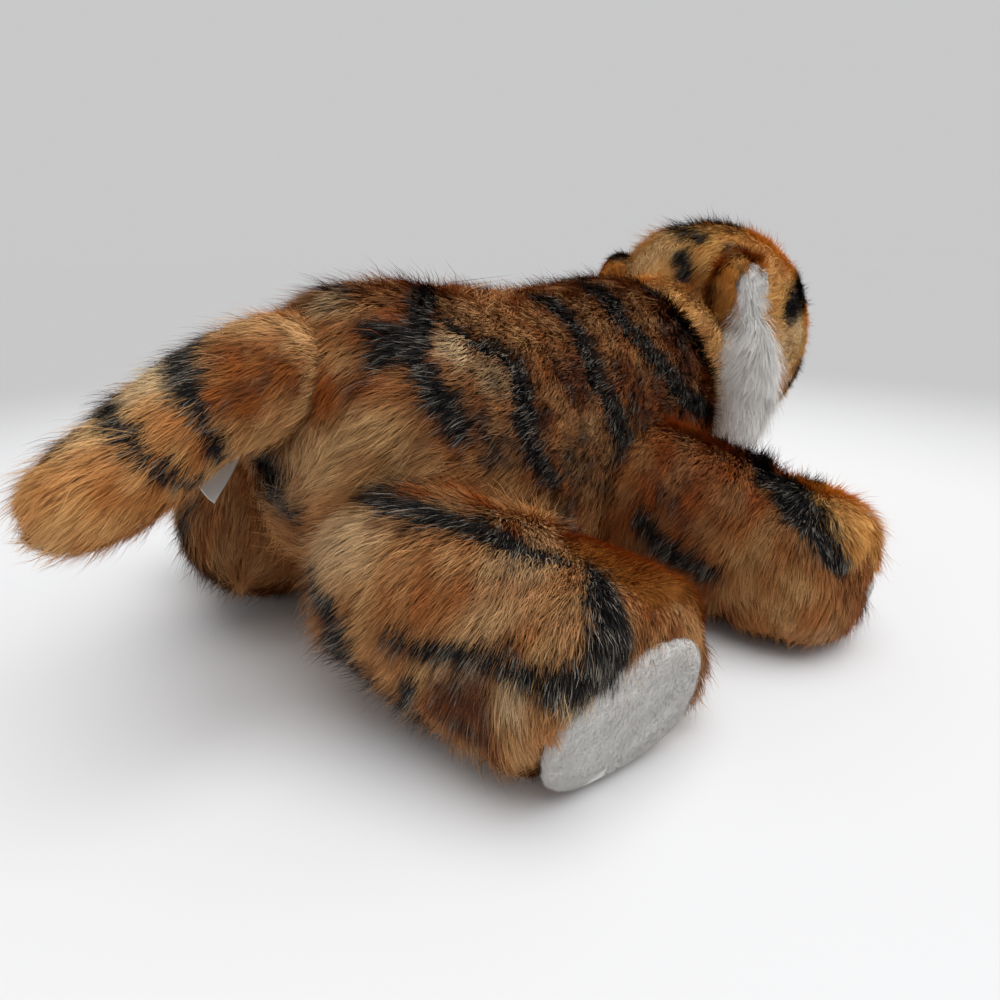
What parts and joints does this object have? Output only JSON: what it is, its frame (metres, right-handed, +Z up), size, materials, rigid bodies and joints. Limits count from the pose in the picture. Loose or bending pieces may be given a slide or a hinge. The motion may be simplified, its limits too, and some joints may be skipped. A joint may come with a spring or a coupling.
{
  "type": "plush tiger",
  "caption": "Plush tiger lying on its belly with splayed stuffed legs, a turned-back tail, pale soles and cheek ruffs, and moulded eyes and nose on locked shanks.",
  "frame": {"origin": "middle of the footprint, on the surface the toy lies on", "axes": "+Z up, -Y towards the head, +Y towards the tail, -X towards the animal's right side"},
  "size_m": [0.3518, 0.5268, 0.1997],
  "materials": {
    "striped_plush": "long-pile plush, red-brown to tan with black stripes and frosted tips",
    "orange_plush": "short orange plush",
    "tan_plush": "long-pile plush, tan and cream with dark bands",
    "white_plush": "white plush, short on the soles and long on the cheeks",
    "cream_plush": "short cream plush",
    "satin_ribbon": "smooth woven satin ribbon, bare",
    "eye_plastic": "polished amber plastic with a dark pupil",
    "nose_plastic": "dark moulded plastic, slightly pebbled",
    "washer_plastic": "plain moulded plastic"
  },
  "bodies": {
    "trunk": {"trunk": "striped_plush", "belly_panel": "cream_plush"},
    "head": {"head": "striped_plush", "muzzle": "white_plush", "chin": "white_plush", "nose": "nose_plastic", "nose_washer": "washer_plastic", "eye_right": "eye_plastic", "eye_left": "eye_plastic", "eye_washer_right": "washer_plastic", "eye_washer_left": "washer_plastic", "ear_right": "striped_plush", "ear_left": "striped_plush", "ear_lining_right": "white_plush", "ear_lining_left": "white_plush", "cheek_ruff_right": "white_plush", "cheek_ruff_left": "white_plush"},
    "hindleg_right": {"hindleg_right": "striped_plush", "hindleg_instep_right": "orange_plush", "hindleg_sole_right": "white_plush"},
    "hindleg_left": {"hindleg_left": "striped_plush", "hindleg_instep_left": "orange_plush", "hindleg_sole_left": "white_plush"},
    "foreleg_right": {"foreleg_right": "striped_plush", "foreleg_instep_right": "orange_plush", "foreleg_sole_right": "white_plush"},
    "foreleg_left": {"foreleg_left": "striped_plush", "foreleg_instep_left": "orange_plush", "foreleg_sole_left": "white_plush"},
    "tail": {"tail": "tan_plush", "sewn_in_label": "satin_ribbon"}
  },
  "joints": [
    {"name": "head_turn", "type": "hinge", "parent": "trunk", "child": "head", "pos_m": [0, -0.11257, 0.118], "axis": [0, 0, 1], "range_deg": [-18, 18]},
    {"name": "tail_wag", "type": "hinge", "parent": "trunk", "child": "tail", "pos_m": [0, 0.16343, 0.134], "axis": [0, 0, 1], "range_deg": [-20, 20]},
    {"name": "hip_right_swing", "type": "hinge", "parent": "trunk", "child": "hindleg_right", "pos_m": [-0.06, 0.14543, 0.057], "axis": [0, 0, 1], "range_deg": [-14, 14]},
    {"name": "hip_left_swing", "type": "hinge", "parent": "trunk", "child": "hindleg_left", "pos_m": [0.06, 0.14543, 0.057], "axis": [0, 0, 1], "range_deg": [-14, 14]},
    {"name": "shoulder_right_swing", "type": "hinge", "parent": "trunk", "child": "foreleg_right", "pos_m": [-0.066, -0.00557, 0.06], "axis": [0, 0, 1], "range_deg": [-14, 14]},
    {"name": "shoulder_left_swing", "type": "hinge", "parent": "trunk", "child": "foreleg_left", "pos_m": [0.066, -0.00557, 0.06], "axis": [0, 0, 1], "range_deg": [-14, 14]}
  ]
}
